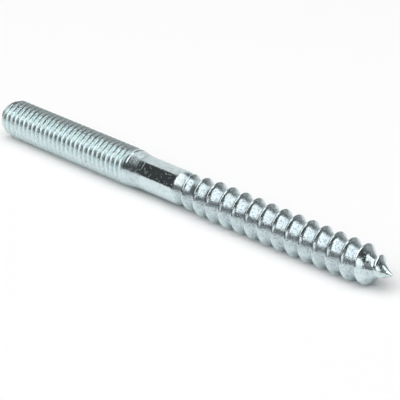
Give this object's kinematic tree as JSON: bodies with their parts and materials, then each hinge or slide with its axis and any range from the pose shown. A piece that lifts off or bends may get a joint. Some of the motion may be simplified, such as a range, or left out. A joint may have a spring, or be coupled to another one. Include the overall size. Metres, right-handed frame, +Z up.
{
  "type": "hanger bolt",
  "caption": "Headless zinc-plated steel bolt: machine thread at one end, plain shank, coarse wood thread with a gimlet point at the other, to carry a nut on timber.",
  "frame": {"origin": "on the surface that the bolt lies on, under the middle of its length", "axes": "+X along the bolt's axis towards its point, +Z up"},
  "size_m": [0.0792, 0.006, 0.006],
  "materials": {
    "zinc_steel": "bright zinc plating over rolled steel, slightly cool, with fine mottling and small pits"
  },
  "bodies": {
    "root": {"hanger_bolt": "zinc_steel"}
  },
  "joints": []
}
